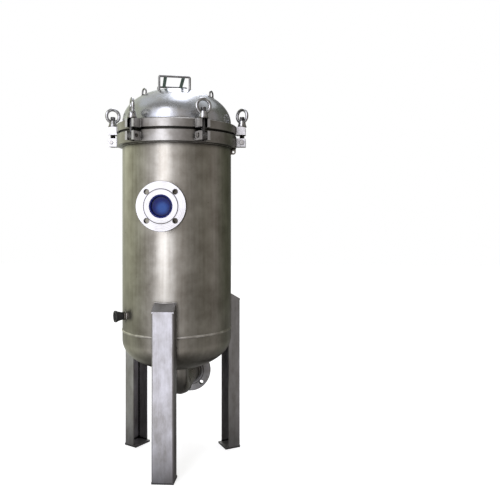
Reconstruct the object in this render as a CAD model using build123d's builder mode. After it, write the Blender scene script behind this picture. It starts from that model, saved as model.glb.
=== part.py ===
# Multi-bag filter housing: a vertical pressure vessel on three legs, with three bags in baskets inside,
# a domed lid held by six swing bolts, an inlet flange in front and an outlet flange behind.
# Millimetres. +Z is up, the origin is on the vessel's axis at the floor, and the inlet faces -Y.
from build123d import *

import os
from math import cos, radians, sin, sqrt

os.makedirs("parts", exist_ok=True)

# Vessel
shell_radius = 225.0
shell_wall = 4.0
seam_height = 540.0
shell_length = 754.0
lower_skirt = 40.0
lower_head_depth = 128.0
upper_skirt = 14.0
upper_head_depth = 142.0

# Body flange, lid flange and their seal
flange_width = 23.0
body_flange_height = 46.0
lid_flange_height = 42.0
rim_gap = 8.5
rim_gap_depth = 10.0
flange_chamfer = 1.5
groove_width = 8.4
groove_depth = 5.8
groove_inset = 7.0
seal_play = 0.1

# Swing bolts, their lugs and pins
bolt_count = 6
bolt_phase = 3.0
bolt_offset = 24.0
bolt_radius = 10.0
eye_radius = 16.0
eye_width = 21.0
pin_radius = 6.0
pin_head_radius = 9.0
pin_head_thickness = 4.0
pin_tail = 4.0
lug_width = 44.0
lug_slot = 22.0
lug_overhang = 15.0
lug_slot_floor = 4.0
lug_relief = 3.0
lug_chamfer = 1.5
clevis_base = 3.0
clevis_height = 34.0
pin_drop = 17.0
lid_lug_rise = 6.0
lid_lug_height = 34.0

# Washers and eye nuts
washer_radius = 19.0
washer_thickness = 4.0
washer_clearance = 0.5
nut_height = 76.0
nut_base_radius = 18.0
nut_neck_radius = 13.0
nut_neck_height = 22.0
ring_radius = 26.5
ring_wire_radius = 6.5
bolt_above_nut = 17.0
nut_headings = (125.0, 23.0, 120.0, 55.0, 80.0, 20.0)

# Pipework and its slip-on flanges, three-inch
pipe_radius = 44.45
pipe_wall = 3.05
nozzle_reach = 72.0
pipe_setback = 3.0
pipe_flange_radius = 95.25
pipe_flange_thickness = 22.4
raised_face_radius = 63.5
raised_face_height = 1.6
hub_radius = 54.0
hub_length = 8.0
hub_taper = 12.0
pipe_bolt_circle = 152.4
pipe_bolt_count = 4
pipe_bolt_hole_radius = 9.55
inlet_drop = 250.0
outlet_drop = 89.0
elbow_radius = 76.2

# Protective plug of the inlet
plug_lip_thickness = 2.5
plug_depth = 26.0
plug_wall = 2.0
plug_dish_depth = 9.0
plug_dish_taper = 20.0
plug_clearance = 0.3

# Side port and its plug
side_port_azimuth = -55.0
side_port_rise = 68.0
boss_radius = 17.0
boss_bore_radius = 13.2
boss_stand = 9.0
side_plug_neck_radius = 14.0
side_plug_head_radius = 23.0
side_plug_head_length = 33.0
side_plug_rim = 7.0
side_plug_shank = 12.0
side_plug_pocket_radius = 15.0
side_plug_pocket_depth = 8.0
side_plug_draft = 2.0

# Legs
leg_stand = 45.0
leg_bite = 8.0
leg_width = 85.0
leg_wall = 5.0
leg_bend = 7.0
leg_lap = 102.0
leg_cap_rise = 27.0
leg_cap_thickness = 5.0
foot_overhang = 15.0
foot_plate_thickness = 8.0
leg_azimuths = {"front": 0.0, "rear_right": 120.0, "rear_left": -120.0}

# Earthing lug under the body flange
earth_lug_azimuth = 101.0
earth_lug_reach = 21.0
earth_lug_height = 25.0
earth_lug_thickness = 8.0
earth_lug_hole_radius = 4.5

# Lid handle and lifting eyes
handle_heading = 15.0
handle_span = 122.0
handle_depth = 206.0
handle_shift = -17.0
handle_rise = 36.0
handle_bar_radius = 4.5
handle_bend = 5.5
rail_spacing = 72.0
rail_width = 13.0
rail_thickness = 5.0
eye_azimuths = (-46.0, 74.0, 194.0)
eye_circle = 156.0
eye_loop_width = 36.0
eye_loop_height = 26.0
eye_bar_radius = 3.5

# Tubesheet and what it carries
tubesheet_drop = 114.0
tubesheet_thickness = 12.0
tubesheet_play = 2.0
gasket_thickness = 3.0
support_ring_width = 18.0
support_ring_thickness = 12.0
sheet_bolt_count = 6
sheet_bolt_radius = 4.0
sheet_bolt_head_radius = 7.5
sheet_bolt_head_height = 5.3
sheet_bolt_phase = 0.0
bag_count = 3
basket_clearance = 19.5
basket_wall = 1.5
basket_length = 420.0
basket_rim_width = 4.5
basket_rim_thickness = 3.0
basket_hole_radius = 6.0
basket_hole_columns = 8
basket_hole_rows = 5
bag_clearance = 1.0
bag_wall = 2.0
bag_corner = 22.0
collar_overlap = 2.0
collar_thickness = 5.0
hold_ring_width = 8.0
hold_ring_thickness = 6.0
hold_arm_width = 20.0
hold_hub_radius = 22.0
stud_radius = 8.0
stud_above = 26.0
stud_nut_flats = 24.0
stud_nut_height = 13.0

# Fits
weld_fit = 0.05
pin_fit = 0.05
running_fit = 0.08
seat_fit = 0.3

# Worked-out sizes
shell_bore_radius = shell_radius - shell_wall
shell_top = seam_height + shell_length
flange_radius = shell_radius + flange_width
joint_height = shell_top + body_flange_height
lid_flange_top = joint_height + lid_flange_height
crown_base = lid_flange_top + upper_skirt
lower_crown_base = seam_height - lower_skirt
inlet_height = shell_top - inlet_drop
outlet_height = lower_crown_base - lower_head_depth - outlet_drop
side_port_height = seam_height + side_port_rise
leg_reach = shell_radius + leg_stand
leg_depth = leg_stand + leg_bite
foot_plate_depth = leg_depth + foot_overhang
leg_top = seam_height + leg_lap
handle_top = crown_base + upper_head_depth + handle_rise
handle_foot = crown_base + upper_head_depth / 2
tubesheet_height = inlet_height - tubesheet_drop
bolt_circle = flange_radius + bolt_offset
lug_reach = bolt_circle + lug_overhang
clevis_bottom = shell_top + clevis_base
pin_height = clevis_bottom + pin_drop
rim_bottom = joint_height + rim_gap
lid_lug_bottom = joint_height + lid_lug_rise
lid_lug_top = lid_lug_bottom + lid_lug_height
washer_bottom = lid_lug_top + seat_fit
nut_bottom = washer_bottom + washer_thickness
pipe_bore_radius = pipe_radius - pipe_wall
flange_face_reach = shell_radius + nozzle_reach
pipe_end = flange_face_reach - pipe_setback
groove_radius = shell_bore_radius + groove_inset + groove_width / 2
bolt_azimuths = [bolt_phase - 90.0 + i * 360.0 / bolt_count for i in range(bolt_count)]
sheet_radius = shell_bore_radius - tubesheet_play
bag_circle = shell_bore_radius / 2
basket_radius = shell_bore_radius - bag_circle - basket_clearance
basket_rim_radius = basket_radius + basket_rim_width
collar_radius = basket_radius + collar_overlap
gasket_bottom = tubesheet_height - gasket_thickness
sheet_top = tubesheet_height + tubesheet_thickness
rim_top = sheet_top + basket_rim_thickness
collar_top = rim_top + collar_thickness
hold_top = collar_top + hold_ring_thickness
sheet_bolt_circle = (shell_bore_radius - support_ring_width + sheet_radius) / 2


def outward(azimuth):
    """The level direction at an azimuth: 0 is the inlet's side, -Y, and 90 is +X."""
    return Vector(sin(radians(azimuth)), -cos(radians(azimuth)), 0)


def across(azimuth):
    """The level direction square to outward(azimuth), to the right of one who faces the vessel."""
    return Vector(cos(radians(azimuth)), sin(radians(azimuth)), 0)


def radial_plane(azimuth, height, reach=0.0):
    """A plane that faces outwards at an azimuth, with its Y axis up."""
    centre = outward(azimuth) * reach + Vector(0, 0, height)
    return Plane(origin=centre, x_dir=across(azimuth), z_dir=outward(azimuth))


def side_plane(azimuth, reach=0.0, height=0.0):
    """An upright plane through the axis, with its X axis outwards and its Y axis up."""
    centre = outward(azimuth) * reach + Vector(0, 0, height)
    return Plane(origin=centre, x_dir=outward(azimuth), z_dir=across(azimuth) * -1)


def level_plane(azimuth, reach, height):
    """A level plane at a point, with its X axis outwards."""
    centre = outward(azimuth) * reach + Vector(0, 0, height)
    return Plane(origin=centre, x_dir=outward(azimuth), z_dir=(0, 0, 1))


def dished_head(skirt_height, base, depth, rise):
    """An elliptical head with its skirt: rise is 1 for a crown above the skirt, -1 for one below."""
    start = 90 if rise > 0 else 0
    with BuildPart() as head:
        with BuildSketch(Plane.XZ):
            with BuildLine():
                Line((shell_bore_radius, skirt_height), (shell_radius, skirt_height))
                Line((shell_radius, skirt_height), (shell_radius, base))
                EllipticalCenterArc((0, base), shell_radius, depth, start_angle=start, arc_size=-90)
                Line((0, base + rise * depth), (0, base + rise * (depth - shell_wall)))
                EllipticalCenterArc(
                    (0, base), shell_bore_radius, depth - shell_wall, start_angle=start, arc_size=-90
                )
                Line((shell_bore_radius, base), (shell_bore_radius, skirt_height))
            make_face()
        revolve(axis=Axis.Z)
    return head.part


def dished_solid(radius, skirt_height, base, depth, rise):
    """The space inside a head's outside surface, for fitting other pieces against it."""
    start = 90 if rise > 0 else 0
    with BuildPart() as solid:
        with BuildSketch(Plane.XZ):
            with BuildLine():
                tip = (0, base + rise * depth)
                Line((0, skirt_height), (radius, skirt_height))
                Line((radius, skirt_height), (radius, base))
                EllipticalCenterArc((0, base), radius, depth, start_angle=start, arc_size=-90)
                Line(tip, (0, skirt_height))
            make_face()
        revolve(axis=Axis.Z)
    return solid.part


def crown_height(reach):
    """Height of the lid dome's outside at a distance from the axis."""
    return crown_base + upper_head_depth * sqrt(1 - (reach / shell_radius) ** 2)


def slip_on_flange(face):
    """A raised-face slip-on flange whose sealing face lies on a plane that faces away from the pipe."""
    with BuildPart() as flange:
        with BuildSketch(face.offset(-raised_face_height)):
            Circle(pipe_flange_radius)
        extrude(amount=raised_face_height - pipe_flange_thickness)
        chamfer(edges().filter_by(GeomType.CIRCLE), length=flange_chamfer)
        with BuildSketch(face):
            Circle(raised_face_radius)
        extrude(amount=-raised_face_height)
        with BuildSketch(face.offset(-pipe_flange_thickness)):
            Circle(hub_radius)
        extrude(amount=-hub_length, taper=hub_taper)
        with BuildSketch(face):
            Circle(pipe_radius + weld_fit)
            with PolarLocations(pipe_bolt_circle / 2, pipe_bolt_count, start_angle=45):
                Circle(pipe_bolt_hole_radius)
        extrude(amount=-pipe_flange_thickness - hub_length, mode=Mode.SUBTRACT)
    return flange.part


# ---------------------------------------------------------------- pressure shell
with BuildPart() as shell:
    with BuildSketch(Plane.XY.offset(seam_height)):
        Circle(shell_radius)
        Circle(shell_bore_radius, mode=Mode.SUBTRACT)
    extrude(amount=shell_length)
    with BuildSketch(radial_plane(0, inlet_height)):
        Circle(pipe_radius + weld_fit)
    extrude(amount=shell_radius, mode=Mode.SUBTRACT)
    with BuildSketch(radial_plane(side_port_azimuth, side_port_height)):
        Circle(boss_radius + weld_fit)
    extrude(amount=shell_radius, mode=Mode.SUBTRACT)
shell.part.label = "shell"
export_step(shell.part, "parts/shell.step")

with BuildPart() as lower_head:
    add(dished_head(seam_height, lower_crown_base, lower_head_depth, -1))
    with BuildSketch(Plane.XY.offset(lower_crown_base)):
        Circle(pipe_radius + weld_fit)
    extrude(amount=-lower_head_depth, mode=Mode.SUBTRACT)
lower_head.part.label = "lower_head"
export_step(lower_head.part, "parts/lower_head.step")

with BuildPart() as body_flange:
    with BuildSketch(Plane.XY.offset(shell_top)):
        Circle(flange_radius)
        Circle(shell_bore_radius, mode=Mode.SUBTRACT)
    extrude(amount=body_flange_height)
    rims = edges().filter_by(GeomType.CIRCLE).filter_by(lambda rim: rim.radius > shell_radius)
    chamfer(rims, length=flange_chamfer)
    with BuildSketch(Plane.XY.offset(joint_height)):
        Circle(groove_radius + groove_width / 2)
        Circle(groove_radius - groove_width / 2, mode=Mode.SUBTRACT)
    extrude(amount=-groove_depth, mode=Mode.SUBTRACT)
body_flange.part.label = "body_flange"
export_step(body_flange.part, "parts/body_flange.step")

with BuildPart() as o_ring:
    seal_radius = groove_depth / 2 - seal_play
    with BuildSketch(Plane.XZ):
        with Locations((groove_radius, joint_height - groove_depth / 2)):
            Circle(seal_radius)
    revolve(axis=Axis.Z)
o_ring.part.label = "o_ring"
export_step(o_ring.part, "parts/o_ring.step")

# ---------------------------------------------------------------- inlet, outlet and side port
with BuildPart() as inlet_pipe:
    with BuildSketch(radial_plane(0, inlet_height)):
        Circle(pipe_radius)
        Circle(pipe_bore_radius, mode=Mode.SUBTRACT)
    extrude(amount=pipe_end)
    with Locations((0, 0, inlet_height)):
        Cylinder(shell_bore_radius, 4 * pipe_radius, mode=Mode.SUBTRACT)
inlet_pipe.part.label = "inlet_pipe"
export_step(inlet_pipe.part, "parts/inlet_pipe.step")

with BuildPart() as inlet_flange:
    add(slip_on_flange(radial_plane(0, inlet_height, flange_face_reach)))
inlet_flange.part.label = "inlet_flange"
export_step(inlet_flange.part, "parts/inlet_flange.step")

with BuildPart() as outlet_elbow:
    bend_top = outlet_height + elbow_radius
    stub_top = lower_crown_base - (lower_head_depth - shell_wall) * sqrt(
        1 - (pipe_radius / shell_bore_radius) ** 2
    )
    with BuildSketch(Plane.XY.offset(bend_top)):
        Circle(pipe_radius)
        Circle(pipe_bore_radius, mode=Mode.SUBTRACT)
    revolve(axis=Axis((0, elbow_radius, bend_top), (1, 0, 0)), revolution_arc=90)
    with BuildSketch(Plane.XY.offset(bend_top)):
        Circle(pipe_radius)
        Circle(pipe_bore_radius, mode=Mode.SUBTRACT)
    extrude(amount=stub_top - bend_top)
outlet_elbow.part.label = "outlet_elbow"
export_step(outlet_elbow.part, "parts/outlet_elbow.step")

with BuildPart() as outlet_pipe:
    with BuildSketch(radial_plane(180, outlet_height, elbow_radius)):
        Circle(pipe_radius)
        Circle(pipe_bore_radius, mode=Mode.SUBTRACT)
    extrude(amount=pipe_end - elbow_radius)
outlet_pipe.part.label = "outlet_pipe"
export_step(outlet_pipe.part, "parts/outlet_pipe.step")

with BuildPart() as outlet_flange:
    add(slip_on_flange(radial_plane(180, outlet_height, flange_face_reach)))
outlet_flange.part.label = "outlet_flange"
export_step(outlet_flange.part, "parts/outlet_flange.step")

with BuildPart() as inlet_plug:
    lip_radius = pipe_radius - plug_clearance
    plug_radius = pipe_bore_radius - plug_clearance
    plug_face = pipe_end + plug_lip_thickness
    with BuildSketch(radial_plane(0, inlet_height, pipe_end)):
        Circle(lip_radius)
    extrude(amount=plug_lip_thickness)
    with BuildSketch(radial_plane(0, inlet_height, pipe_end)):
        Circle(plug_radius)
    extrude(amount=-plug_depth)
    with BuildSketch(radial_plane(0, inlet_height, plug_face)):
        Circle(plug_radius - plug_wall)
    extrude(amount=-plug_dish_depth, taper=plug_dish_taper, mode=Mode.SUBTRACT)
    with BuildSketch(radial_plane(0, inlet_height, pipe_end - plug_depth)):
        Circle(plug_radius - plug_wall)
    extrude(amount=plug_depth + plug_lip_thickness - plug_dish_depth - plug_wall, mode=Mode.SUBTRACT)
inlet_plug.part.label = "inlet_plug"
export_step(inlet_plug.part, "parts/inlet_plug.step")

with BuildPart() as side_port_boss:
    with BuildSketch(radial_plane(side_port_azimuth, side_port_height)):
        Circle(boss_radius)
        Circle(boss_bore_radius, mode=Mode.SUBTRACT)
    extrude(amount=shell_radius + boss_stand)
    with Locations((0, 0, side_port_height)):
        Cylinder(shell_bore_radius, 4 * boss_radius, mode=Mode.SUBTRACT)
side_port_boss.part.label = "side_port_boss"
export_step(side_port_boss.part, "parts/side_port_boss.step")

with BuildPart() as side_port_plug:
    plug_seat = shell_radius + boss_stand + seat_fit
    with BuildSketch(side_plane(side_port_azimuth, plug_seat, side_port_height)):
        with BuildLine():
            Polyline(
                (-side_plug_shank, 0),
                (-side_plug_shank, boss_bore_radius - plug_clearance),
                (0, boss_bore_radius - plug_clearance),
                (0, side_plug_neck_radius),
                (side_plug_head_length - side_plug_rim, side_plug_head_radius - side_plug_draft),
                (side_plug_head_length - side_plug_rim, side_plug_head_radius),
                (side_plug_head_length, side_plug_head_radius),
                (side_plug_head_length, side_plug_pocket_radius),
                (side_plug_head_length - side_plug_pocket_depth, side_plug_pocket_radius - side_plug_draft),
                (side_plug_head_length - side_plug_pocket_depth, 0),
                close=True,
            )
        make_face()
    plug_axis = Axis(radial_plane(side_port_azimuth, side_port_height).origin, outward(side_port_azimuth))
    revolve(axis=plug_axis)
side_port_plug.part.label = "side_port_plug"
export_step(side_port_plug.part, "parts/side_port_plug.step")

# ---------------------------------------------------------------- legs
vessel_envelope = dished_solid(
    shell_radius + weld_fit, shell_top, lower_crown_base, lower_head_depth + weld_fit, -1
)

leg_inner = leg_reach - leg_depth
cap_outer = leg_top
cap_inner = leg_top + leg_cap_rise * (leg_reach - leg_inner) / (leg_reach - shell_radius)

for place, azimuth in leg_azimuths.items():
    with BuildPart() as leg:
        with BuildSketch(side_plane(azimuth)):
            with BuildLine():
                Polyline(
                    (leg_inner, foot_plate_thickness),
                    (leg_reach, foot_plate_thickness),
                    (leg_reach, cap_outer),
                    (leg_inner, cap_inner),
                    close=True,
                )
            make_face()
        extrude(amount=leg_width / 2, both=True)
        corners = edges().filter_by(Axis.Z).sort_by_distance(outward(azimuth) * leg_reach)[:2]
        fillet(corners, radius=leg_bend)
        with BuildSketch(level_plane(azimuth, leg_inner, foot_plate_thickness)):
            with Locations((0, 0)):
                Rectangle(2 * (leg_depth - leg_wall), leg_width - 2 * leg_wall)
        extrude(amount=cap_inner, mode=Mode.SUBTRACT)
        add(vessel_envelope, mode=Mode.SUBTRACT)
    leg.part.label = "leg_" + place
    export_step(leg.part, "parts/leg_" + place + ".step")

with BuildPart() as leg_caps:
    for azimuth in leg_azimuths.values():
        with BuildSketch(side_plane(azimuth)):
            with BuildLine():
                Polyline(
                    (leg_inner, cap_inner),
                    (leg_reach, cap_outer),
                    (leg_reach, cap_outer + leg_cap_thickness),
                    (leg_inner, cap_inner + leg_cap_thickness),
                    close=True,
                )
            make_face()
        extrude(amount=leg_width / 2, both=True)
    add(vessel_envelope, mode=Mode.SUBTRACT)
leg_caps.part.label = "leg_caps"
export_step(leg_caps.part, "parts/leg_caps.step")

with BuildPart() as foot_plates:
    for azimuth in leg_azimuths.values():
        with BuildSketch(level_plane(azimuth, leg_reach - foot_plate_depth / 2, 0)):
            Rectangle(foot_plate_depth, leg_width)
        extrude(amount=foot_plate_thickness)
foot_plates.part.label = "foot_plates"
export_step(foot_plates.part, "parts/foot_plates.step")

with BuildPart() as earth_lug:
    with BuildSketch(side_plane(earth_lug_azimuth)):
        with BuildLine():
            lug_root = shell_radius + weld_fit
            lug_tip = shell_radius + earth_lug_reach
            curve_start = shell_top - earth_lug_height + earth_lug_reach / 2
            Polyline(
                (lug_tip, curve_start),
                (lug_tip, shell_top),
                (lug_root, shell_top),
                (lug_root, shell_top - earth_lug_height),
                (lug_tip - earth_lug_reach / 2, shell_top - earth_lug_height),
            )
            RadiusArc(
                (lug_tip - earth_lug_reach / 2, shell_top - earth_lug_height),
                (lug_tip, curve_start),
                -earth_lug_reach / 2,
            )
        make_face()
        with Locations((lug_tip - earth_lug_reach / 2, curve_start)):
            Circle(earth_lug_hole_radius, mode=Mode.SUBTRACT)
    extrude(amount=earth_lug_thickness / 2, both=True)
    add(vessel_envelope, mode=Mode.SUBTRACT)
earth_lug.part.label = "earth_lug"
export_step(earth_lug.part, "parts/earth_lug.step")

# ---------------------------------------------------------------- swing bolts and their lugs
with BuildPart() as clevis_lugs:
    for azimuth in bolt_azimuths:
        with BuildSketch(radial_plane(azimuth, clevis_bottom + clevis_height / 2)):
            Rectangle(lug_width, clevis_height)
        extrude(amount=lug_reach)
    with BuildSketch(Plane.XY.offset(clevis_bottom)):
        Circle(flange_radius + weld_fit)
    extrude(amount=clevis_height, mode=Mode.SUBTRACT)
    for azimuth in bolt_azimuths:
        slot_plane = radial_plane(azimuth, pin_height, flange_radius + lug_slot_floor)
        with BuildSketch(slot_plane):
            Rectangle(lug_slot, 2 * clevis_height)
        extrude(amount=lug_reach, mode=Mode.SUBTRACT)
        with BuildSketch(side_plane(azimuth, bolt_circle, pin_height)):
            Circle(pin_radius + pin_fit)
        extrude(amount=lug_width, both=True, mode=Mode.SUBTRACT)
clevis_lugs.part.label = "clevis_lugs"
export_step(clevis_lugs.part, "parts/clevis_lugs.step")

with BuildPart() as clevis_pins:
    for azimuth in bolt_azimuths:
        with BuildSketch(side_plane(azimuth, bolt_circle, pin_height)):
            Circle(pin_radius)
        extrude(amount=lug_width / 2 + pin_tail, both=True)
        with BuildSketch(side_plane(azimuth, bolt_circle, pin_height).offset(lug_width / 2)):
            Circle(pin_head_radius)
        extrude(amount=pin_head_thickness)
clevis_pins.part.label = "clevis_pins"
export_step(clevis_pins.part, "parts/clevis_pins.step")

for number, azimuth in enumerate(bolt_azimuths, start=1):
    with BuildPart() as swing_bolt:
        with BuildSketch(side_plane(azimuth, bolt_circle, pin_height)):
            Circle(eye_radius)
        extrude(amount=eye_width / 2, both=True)
        bolt_top = nut_bottom + nut_neck_height + bolt_above_nut
        with BuildSketch(level_plane(azimuth, bolt_circle, bolt_top)):
            Circle(bolt_radius)
        extrude(amount=pin_height - bolt_top)
        chamfer(edges().filter_by(GeomType.CIRCLE).sort_by(Axis.Z)[-1], length=lug_chamfer)
        with BuildSketch(side_plane(azimuth, bolt_circle, pin_height)):
            Circle(pin_radius + running_fit)
        extrude(amount=eye_width, both=True, mode=Mode.SUBTRACT)
    swing_bolt.part.label = "swing_bolt_" + str(number)
    export_step(swing_bolt.part, "parts/swing_bolt_" + str(number) + ".step")

    with BuildPart() as washer:
        with BuildSketch(level_plane(azimuth, bolt_circle, washer_bottom)):
            Circle(washer_radius)
            Circle(bolt_radius + washer_clearance, mode=Mode.SUBTRACT)
        extrude(amount=washer_thickness)
    washer.part.label = "washer_" + str(number)
    export_step(washer.part, "parts/washer_" + str(number) + ".step")

    with BuildPart() as eye_nut:
        with BuildSketch(level_plane(azimuth, bolt_circle, nut_bottom)):
            Circle(nut_base_radius)
        with BuildSketch(level_plane(azimuth, bolt_circle, nut_bottom + nut_neck_height)):
            Circle(nut_neck_radius)
        loft()
        ring_centre = outward(azimuth) * bolt_circle + Vector(
            0, 0, nut_bottom + nut_height - ring_radius - ring_wire_radius
        )
        heading = nut_headings[(number - 1) % len(nut_headings)]
        ring_plane = Plane(origin=ring_centre, x_dir=outward(heading), z_dir=(0, 0, 1))
        with BuildSketch(ring_plane):
            with Locations((ring_radius, 0)):
                Circle(ring_wire_radius)
        revolve(axis=Axis(ring_centre, across(heading)))
        with BuildSketch(level_plane(azimuth, bolt_circle, nut_bottom)):
            Circle(bolt_radius + running_fit)
        extrude(amount=nut_height / 2, mode=Mode.SUBTRACT)
    eye_nut.part.label = "eye_nut_" + str(number)
    export_step(eye_nut.part, "parts/eye_nut_" + str(number) + ".step")

# ---------------------------------------------------------------- lid
with BuildPart() as lid_flange:
    with BuildSketch(Plane.XY.offset(joint_height)):
        Circle(flange_radius - rim_gap_depth)
    extrude(amount=rim_gap)
    with BuildSketch(Plane.XY.offset(rim_bottom)):
        Circle(flange_radius)
    extrude(amount=lid_flange_height - rim_gap)
    rims = edges().filter_by(GeomType.CIRCLE).filter_by(lambda rim: rim.radius > flange_radius - 1)
    chamfer(rims, length=flange_chamfer)
    with BuildSketch(Plane.XY.offset(joint_height)):
        Circle(shell_bore_radius)
    extrude(amount=lid_flange_height, mode=Mode.SUBTRACT)
lid_flange.part.label = "lid_flange"
export_step(lid_flange.part, "parts/lid_flange.step")

with BuildPart() as lid_dome:
    add(dished_head(lid_flange_top, crown_base, upper_head_depth, 1))
lid_dome.part.label = "lid_dome"
export_step(lid_dome.part, "parts/lid_dome.step")

with BuildPart() as lid_lugs:
    for azimuth in bolt_azimuths:
        with BuildSketch(side_plane(azimuth)):
            with BuildLine():
                Polyline(
                    (shell_radius, lid_lug_bottom),
                    (lug_reach, lid_lug_bottom),
                    (lug_reach, lid_lug_top - lug_relief),
                    (bolt_circle, lid_lug_top),
                    (shell_radius, lid_lug_top),
                    close=True,
                )
            make_face()
        extrude(amount=lug_width / 2, both=True)
    with BuildSketch(Plane.XY.offset(lid_lug_bottom)):
        Circle(flange_radius + weld_fit)
    extrude(amount=lid_lug_height, mode=Mode.SUBTRACT)
    for azimuth in bolt_azimuths:
        with BuildSketch(level_plane(azimuth, bolt_circle, lid_lug_bottom)):
            Circle(lug_slot / 2)
            with Locations((lug_overhang, 0)):
                Rectangle(2 * lug_overhang, lug_slot)
        extrude(amount=lid_lug_height, mode=Mode.SUBTRACT)
lid_lugs.part.label = "lid_lugs"
export_step(lid_lugs.part, "parts/lid_lugs.step")

dome_envelope = dished_solid(
    shell_radius + weld_fit, lid_flange_top, crown_base, upper_head_depth + weld_fit, 1
)

handle_frame = Plane.XY.rotated((0, 0, handle_heading)).offset(handle_top - handle_bar_radius)
handle_post = handle_top - handle_bar_radius - handle_foot
with BuildPart() as lid_handle:
    for side in (-1, 1):
        hoop = Plane(
            origin=handle_frame.from_local_coords((handle_shift, side * handle_depth / 2, 0)),
            x_dir=handle_frame.x_dir,
            z_dir=handle_frame.y_dir * -1,
        )
        with BuildLine(hoop) as hoop_line:
            FilletPolyline(
                (-handle_span / 2, -handle_post),
                (-handle_span / 2, 0),
                (handle_span / 2, 0),
                (handle_span / 2, -handle_post),
                radius=handle_bend,
            )
        foot = Plane(origin=hoop_line.wire() @ 0, z_dir=hoop_line.wire() % 0)
        with BuildSketch(foot):
            Circle(handle_bar_radius)
        sweep(path=hoop_line.wire())
    add(dome_envelope, mode=Mode.SUBTRACT)
lid_handle.part.label = "lid_handle"
export_step(lid_handle.part, "parts/lid_handle.step")

with BuildPart() as handle_rails:
    with BuildSketch(handle_frame.offset(-rail_thickness / 2)):
        with Locations((handle_shift - rail_spacing / 2, 0), (handle_shift + rail_spacing / 2, 0)):
            Rectangle(rail_width, handle_depth - 2 * (handle_bar_radius + weld_fit))
    extrude(amount=rail_thickness)
handle_rails.part.label = "handle_rails"
export_step(handle_rails.part, "parts/handle_rails.step")

with BuildPart() as lifting_eyes:
    for azimuth in eye_azimuths:
        loop_top = crown_height(eye_circle) + eye_loop_height - eye_bar_radius
        loop_span = eye_loop_width / 2 - eye_bar_radius
        with BuildLine(radial_plane(azimuth, loop_top - loop_span, eye_circle)) as loop_line:
            Line((-loop_span, -eye_loop_height), (-loop_span, 0))
            ThreePointArc((-loop_span, 0), (0, loop_span), (loop_span, 0))
            Line((loop_span, 0), (loop_span, -eye_loop_height))
        foot = Plane(origin=loop_line.wire() @ 0, z_dir=loop_line.wire() % 0)
        with BuildSketch(foot):
            Circle(eye_bar_radius)
        sweep(path=loop_line.wire())
    add(dome_envelope, mode=Mode.SUBTRACT)
lifting_eyes.part.label = "lifting_eyes"
export_step(lifting_eyes.part, "parts/lifting_eyes.step")

# ---------------------------------------------------------------- inside the vessel
with BuildPart() as support_ring:
    with BuildSketch(Plane.XY.offset(gasket_bottom - support_ring_thickness)):
        Circle(shell_bore_radius - weld_fit)
        Circle(shell_bore_radius - support_ring_width, mode=Mode.SUBTRACT)
        with PolarLocations(sheet_bolt_circle, sheet_bolt_count, start_angle=sheet_bolt_phase):
            Circle(sheet_bolt_radius + pin_fit, mode=Mode.SUBTRACT)
    extrude(amount=support_ring_thickness)
support_ring.part.label = "support_ring"
export_step(support_ring.part, "parts/support_ring.step")

with BuildPart() as tubesheet_gasket:
    with BuildSketch(Plane.XY.offset(gasket_bottom)):
        Circle(sheet_radius)
        Circle(shell_bore_radius - support_ring_width, mode=Mode.SUBTRACT)
        with PolarLocations(sheet_bolt_circle, sheet_bolt_count, start_angle=sheet_bolt_phase):
            Circle(sheet_bolt_radius + pin_fit, mode=Mode.SUBTRACT)
    extrude(amount=gasket_thickness)
tubesheet_gasket.part.label = "tubesheet_gasket"
export_step(tubesheet_gasket.part, "parts/tubesheet_gasket.step")

with BuildPart() as tubesheet:
    with BuildSketch(Plane.XY.offset(tubesheet_height)):
        Circle(sheet_radius)
        with PolarLocations(bag_circle, bag_count, start_angle=-90):
            Circle(basket_radius + weld_fit, mode=Mode.SUBTRACT)
        with PolarLocations(sheet_bolt_circle, sheet_bolt_count, start_angle=sheet_bolt_phase):
            Circle(sheet_bolt_radius + pin_fit, mode=Mode.SUBTRACT)
        Circle(stud_radius + pin_fit, mode=Mode.SUBTRACT)
    extrude(amount=tubesheet_thickness)
tubesheet.part.label = "tubesheet"
export_step(tubesheet.part, "parts/tubesheet.step")

with BuildPart() as tubesheet_bolts:
    with PolarLocations(sheet_bolt_circle, sheet_bolt_count, start_angle=sheet_bolt_phase):
        bolt_length = tubesheet_thickness + gasket_thickness + support_ring_thickness
        with Locations((0, 0, sheet_top - bolt_length)):
            Cylinder(sheet_bolt_radius, bolt_length, align=(Align.CENTER, Align.CENTER, Align.MIN))
    with BuildSketch(Plane.XY.offset(sheet_top)):
        with PolarLocations(sheet_bolt_circle, sheet_bolt_count, start_angle=sheet_bolt_phase):
            RegularPolygon(sheet_bolt_head_radius, 6)
    extrude(amount=sheet_bolt_head_height)
tubesheet_bolts.part.label = "tubesheet_bolts"
export_step(tubesheet_bolts.part, "parts/tubesheet_bolts.step")

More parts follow.
